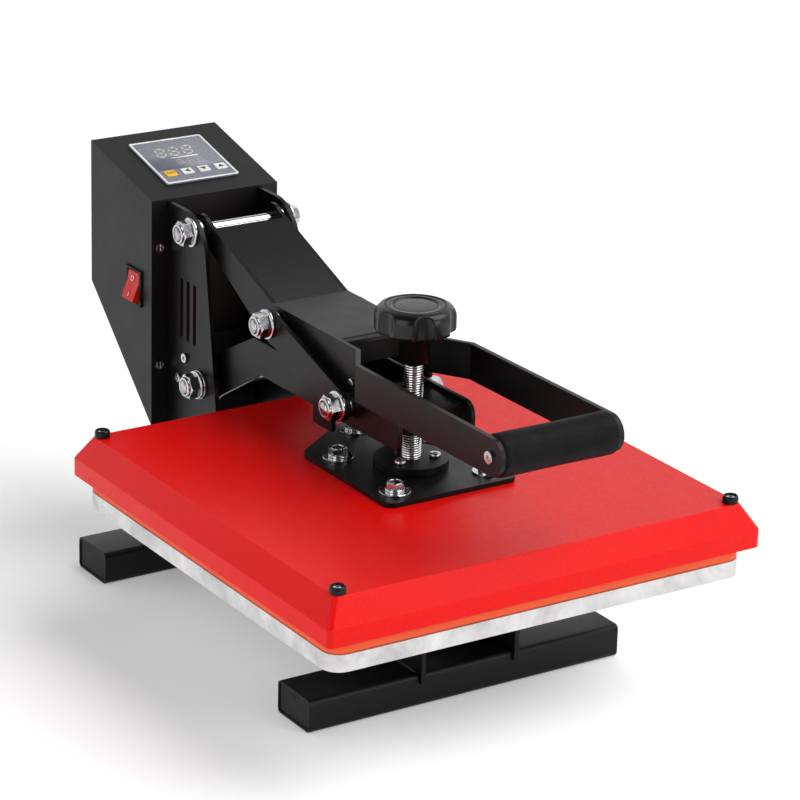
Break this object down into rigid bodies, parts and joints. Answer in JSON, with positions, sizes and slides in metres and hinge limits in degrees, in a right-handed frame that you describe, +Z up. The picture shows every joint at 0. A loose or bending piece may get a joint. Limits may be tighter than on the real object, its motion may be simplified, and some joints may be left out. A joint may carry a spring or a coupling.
{
  "type": "heat press",
  "caption": "Clamshell heat press with square platens, over-centre hand lever, pressure screw with knob and a digital controller box on a tube-footed steel frame.",
  "frame": {"origin": "centre of the bounding box in plan, on the ground under the feet", "axes": "+X operator's right, +Y towards the rear (controller box), +Z up"},
  "size_m": [0.396, 0.6288, 0.331],
  "materials": {
    "frame_black": "satin black powder coat",
    "box_black": "fine textured black-grey powder coat",
    "cover_red": "gloss red powder coat with fine texture",
    "zinc": "bright zinc plate",
    "cast_bed": "rough cast",
    "heated_aluminium": "machined",
    "pad_orange": "matt silicone sponge",
    "plug_black": "matt",
    "grip_foam": "matt foam",
    "knob_black": "semi-gloss",
    "panel_blue_grey": "printed film",
    "display_dark": "gloss",
    "board_green": "solder mask",
    "relay_case": "moulded",
    "key_yellow": "gloss",
    "key_white": "gloss",
    "rocker_red": "gloss",
    "ceramic_wool": "felted",
    "element_mica": "mica",
    "probe_steel": "brushed"
  },
  "bodies": {
    "base": {"front_foot": "frame_black", "rear_foot": "frame_black", "foot_plugs": "plug_black", "left_side_frame": "frame_black", "right_side_frame": "frame_black", "platen_crossbars": "frame_black", "frame_tie_bracket": "frame_black", "frame_screws": "zinc", "lower_platen": "cast_bed", "platen_bolts": "zinc", "silicone_pad": "pad_orange", "top_pivot_bolt": "zinc", "arm_pivot_bolt": "zinc", "pivot_nuts": "zinc", "box_shell": "box_black", "box_front_panel": "box_black", "box_screws": "zinc", "box_mount_bolts": "zinc", "display_panel": "panel_blue_grey", "display_window": "display_dark", "controller_board": "board_green", "solid_state_relay": "relay_case", "switch_housing": "plug_black", "power_inlet": "plug_black"},
    "set_button": {"set_key": "key_yellow"},
    "left_button": {"left_key": "key_white"},
    "down_button": {"down_key": "key_white"},
    "up_button": {"up_key": "key_white"},
    "rocker": {"switch_rocker": "rocker_red"},
    "lever": {"handle_channel": "frame_black", "left_handle_bar": "frame_black", "right_handle_bar": "frame_black", "handle_grip": "grip_foam", "grip_tube": "zinc", "grip_screws": "zinc", "knee_rod": "zinc"},
    "links": {"left_link": "frame_black", "knee_bolt_end": "zinc"},
    "arm": {"left_arm_plate": "frame_black", "right_arm_plate": "frame_black", "arm_webs": "frame_black", "screw_nut": "frame_black", "link_bolt": "zinc", "link_nuts": "zinc"},
    "head": {"mounting_plate": "frame_black", "plate_bolts": "zinc", "thrust_flange": "frame_black", "flange_screws": "zinc", "platen_cover": "cover_red", "cover_cups": "plug_black", "cover_screws": "zinc", "bridge_plate": "heated_aluminium", "insulation_pad": "ceramic_wool", "heat_platen": "heated_aluminium", "heating_element": "element_mica", "temperature_probe": "probe_steel"},
    "screw": {"pressure_screw": "zinc", "pressure_knob": "knob_black"}
  },
  "joints": [
    {"name": "arm_open", "type": "hinge", "parent": "base", "child": "arm", "pos_m": [0, 0.1474, 0.157], "axis": [-1, 0, 0], "range_deg": [0, 44.09]},
    {"name": "handle_lift", "type": "hinge", "parent": "base", "child": "lever", "pos_m": [0, 0.1639, 0.287], "axis": [-1, 0, 0], "range_deg": [0, 90.02]},
    {"name": "link_swing", "type": "hinge", "parent": "arm", "child": "links", "pos_m": [0, -0.0721, 0.2095], "axis": [1, 0, 0], "range_deg": [0, 61.19]},
    {"name": "screw_turn", "type": "hinge", "parent": "head", "child": "screw", "pos_m": [0, -0.1091, 0.168], "axis": [0, 0, 1], "range_deg": [0, 720.5]},
    {"name": "pressure_adjust", "type": "slide", "parent": "arm", "child": "head", "axis": [0, 0, 1], "range_m": [0, 0.004]},
    {"name": "set_press", "type": "slide", "parent": "base", "child": "set_button", "axis": [0, 0.2341, -0.9722], "range_m": [0, 0.0008], "stiffness_N_per_m": 300, "springref_m": -0.0004},
    {"name": "left_press", "type": "slide", "parent": "base", "child": "left_button", "axis": [0, 0.2341, -0.9722], "range_m": [0, 0.0008], "stiffness_N_per_m": 300, "springref_m": -0.0004},
    {"name": "down_press", "type": "slide", "parent": "base", "child": "down_button", "axis": [0, 0.2341, -0.9722], "range_m": [0, 0.0008], "stiffness_N_per_m": 300, "springref_m": -0.0004},
    {"name": "up_press", "type": "slide", "parent": "base", "child": "up_button", "axis": [0, 0.2341, -0.9722], "range_m": [0, 0.0008], "stiffness_N_per_m": 300, "springref_m": -0.0004},
    {"name": "switch_rock", "type": "hinge", "parent": "base", "child": "rocker", "pos_m": [-0.061, 0.2329, 0.222], "axis": [0, -1, 0], "range_deg": [0, 18]}
  ],
  "couplings": [
    {"joint": "handle_lift", "follows": "arm_open", "ratio": 2.0413},
    {"joint": "link_swing", "follows": "arm_open", "ratio": 1.3873},
    {"joint": "screw_turn", "follows": "pressure_adjust", "rad_per_m": 3141.6}
  ]
}
